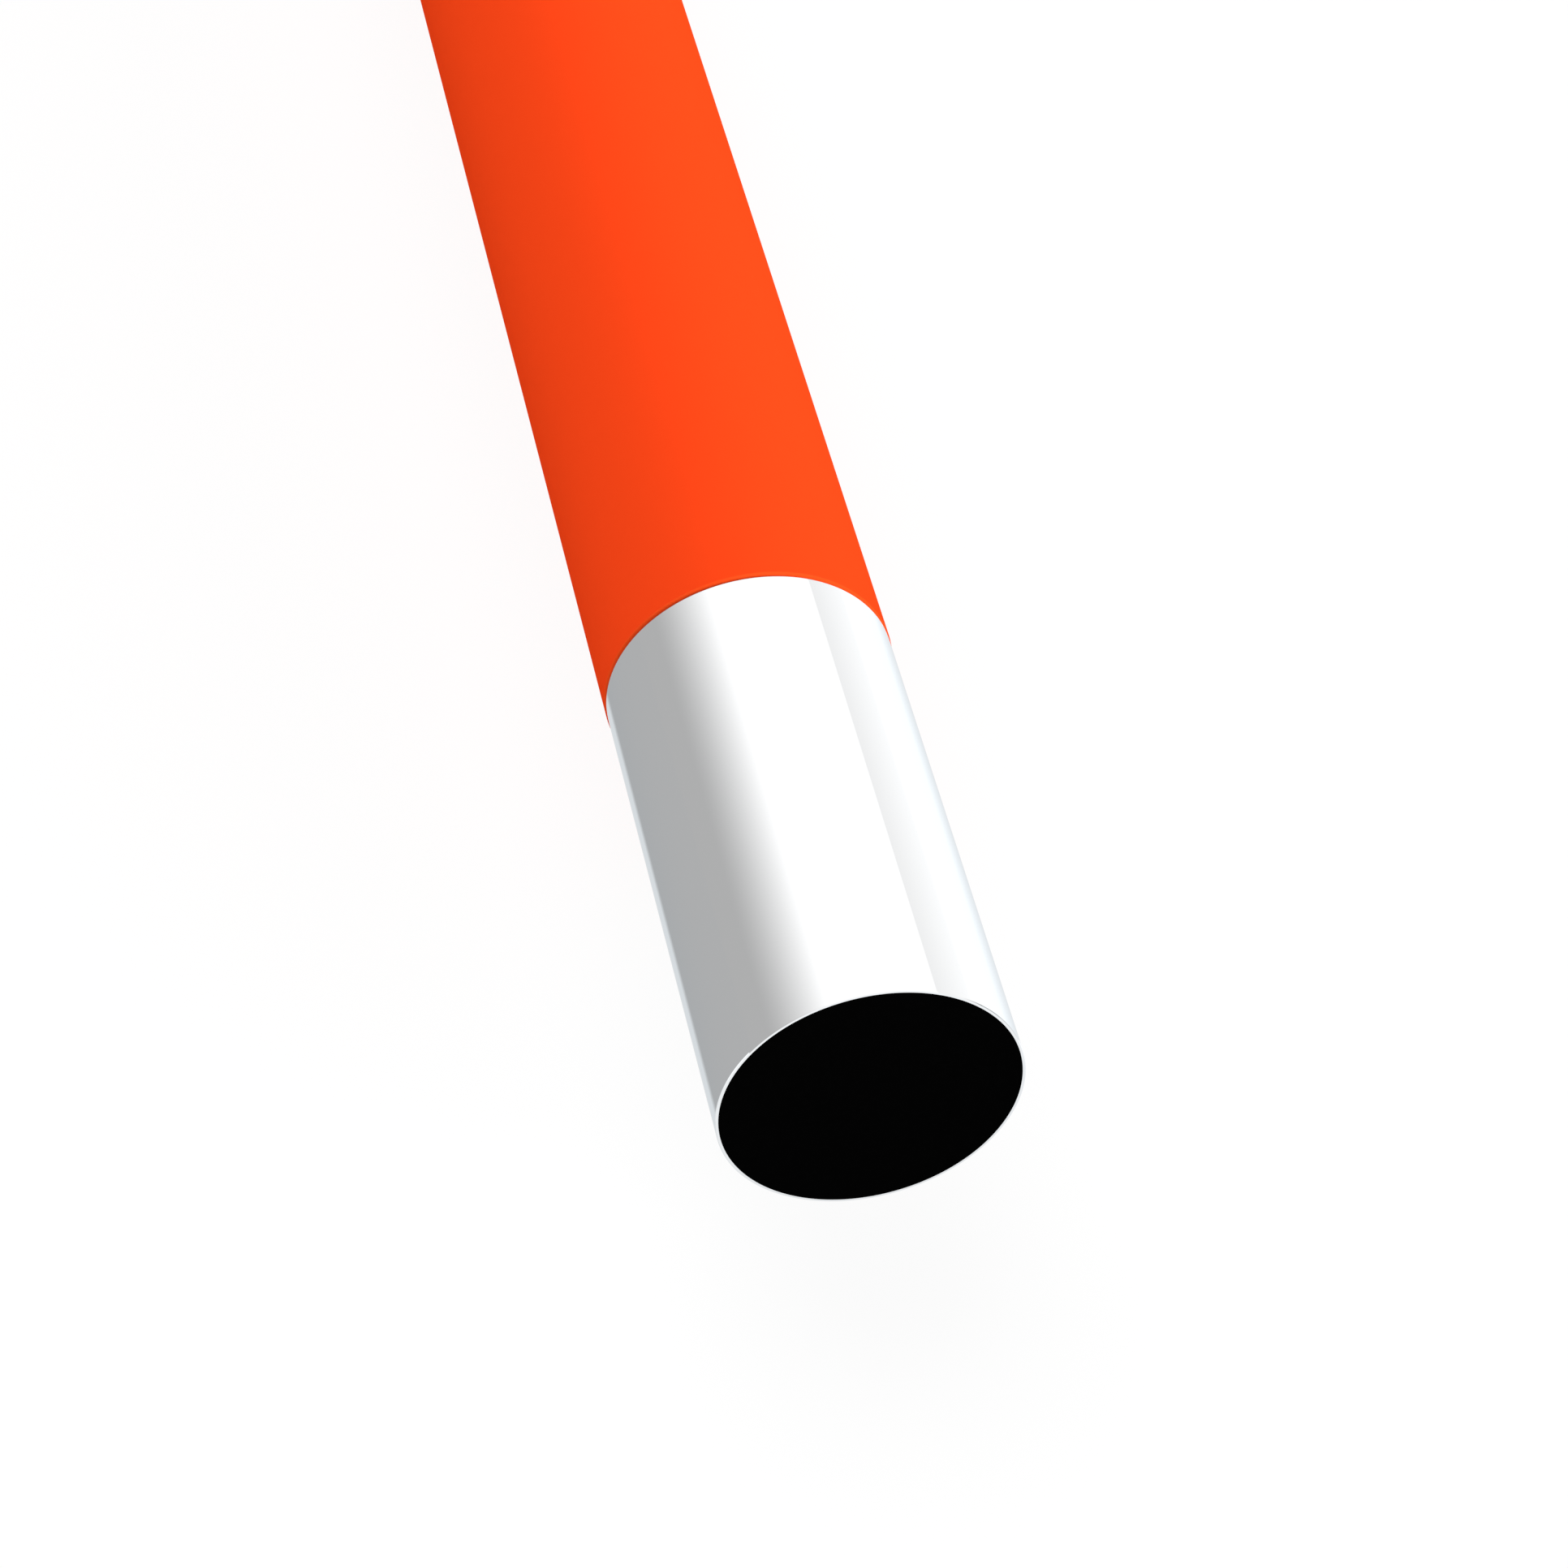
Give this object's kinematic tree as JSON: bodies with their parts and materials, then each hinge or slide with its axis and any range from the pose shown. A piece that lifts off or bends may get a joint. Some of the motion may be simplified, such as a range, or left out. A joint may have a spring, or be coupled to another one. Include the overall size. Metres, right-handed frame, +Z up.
{
  "type": "telescoping white cane",
  "caption": "White mobility cane with telescoping tubes, twist locks, an orange-red lower section, a polished ferrule with a black end plug, and a rubber grip with a flat.",
  "frame": {"origin": "centre of the tip's flat end face", "axes": "+X along the cane from the tip to the grip cap, +Z up with the cane lying down and the grip's flat underneath, +Y to the left seen from the tip"},
  "size_m": [1.25, 0.028, 0.0252],
  "materials": {
    "black_nylon": "flat deep black moulded nylon",
    "polished_metal": "mirror polished and bare",
    "orange_film": "very smooth orange-red sleeve with a soft sheen",
    "bare_aluminium": "drawn, unpainted",
    "white_paint": "white powder coat, semi-gloss",
    "collar_plastic": "moulded, fine grain",
    "seal_rubber": "matte",
    "natural_nylon": "natural, slightly waxy",
    "zinc_steel": "zinc plated",
    "turned_brass": "as turned",
    "grip_rubber": "matte, finely textured"
  },
  "bodies": {
    "handle": {"handle_tube": "white_paint", "upper_collar": "collar_plastic", "upper_wiper": "seal_rubber", "grip_ring": "polished_metal", "grip": "grip_rubber", "grip_cap": "collar_plastic", "cap_pin": "zinc_steel"},
    "upper_gripper": {"upper_expander": "natural_nylon"},
    "upper_cone": {"upper_lock_cone": "turned_brass"},
    "upper_middle": {"upper_middle_tube": "white_paint", "middle_collar": "collar_plastic", "middle_wiper": "seal_rubber", "upper_end_plug": "natural_nylon", "upper_lock_stud": "zinc_steel", "upper_stud_clip": "zinc_steel"},
    "middle_gripper": {"middle_expander": "natural_nylon"},
    "middle_cone": {"middle_lock_cone": "turned_brass"},
    "lower_middle": {"lower_middle_tube": "white_paint", "lower_collar": "collar_plastic", "lower_wiper": "seal_rubber", "middle_end_plug": "natural_nylon", "middle_lock_stud": "zinc_steel", "middle_stud_clip": "zinc_steel"},
    "lower_gripper": {"lower_expander": "natural_nylon"},
    "lower_cone": {"lower_lock_cone": "turned_brass"},
    "lower": {"lower_tube": "bare_aluminium", "orange_sleeve": "orange_film", "tip_ferrule": "polished_metal", "tip_plug": "black_nylon", "tip_seal": "seal_rubber", "lower_end_plug": "natural_nylon", "lower_lock_stud": "zinc_steel", "lower_stud_clip": "zinc_steel"}
  },
  "joints": [
    {"name": "upper_slide", "type": "slide", "parent": "handle", "child": "upper_gripper", "axis": [1, 0, 0], "range_m": [0, 0.24]},
    {"name": "upper_twist", "type": "hinge", "parent": "upper_gripper", "child": "upper_middle", "pos_m": [0.94, 0, 0], "axis": [1, 0, 0], "range_deg": [-360, 0]},
    {"name": "upper_cone_travel", "type": "slide", "parent": "upper_gripper", "child": "upper_cone", "axis": [1, 0, 0], "range_m": [0, 0.00125]},
    {"name": "middle_slide", "type": "slide", "parent": "upper_middle", "child": "middle_gripper", "axis": [1, 0, 0], "range_m": [0, 0.24]},
    {"name": "middle_twist", "type": "hinge", "parent": "middle_gripper", "child": "lower_middle", "pos_m": [0.655, 0, 0], "axis": [1, 0, 0], "range_deg": [-360, 0]},
    {"name": "middle_cone_travel", "type": "slide", "parent": "middle_gripper", "child": "middle_cone", "axis": [1, 0, 0], "range_m": [0, 0.00125]},
    {"name": "lower_slide", "type": "slide", "parent": "lower_middle", "child": "lower_gripper", "axis": [1, 0, 0], "range_m": [0, 0.24]},
    {"name": "lower_twist", "type": "hinge", "parent": "lower_gripper", "child": "lower", "pos_m": [0.37, 0, 0], "axis": [1, 0, 0], "range_deg": [-360, 0]},
    {"name": "lower_cone_travel", "type": "slide", "parent": "lower_gripper", "child": "lower_cone", "axis": [1, 0, 0], "range_m": [0, 0.00125]}
  ],
  "couplings": [
    {"joint": "upper_cone_travel", "follows": "upper_twist", "m_per_rad": -0.0001989},
    {"joint": "middle_cone_travel", "follows": "middle_twist", "m_per_rad": -0.0001989},
    {"joint": "lower_cone_travel", "follows": "lower_twist", "m_per_rad": -0.0001989}
  ]
}
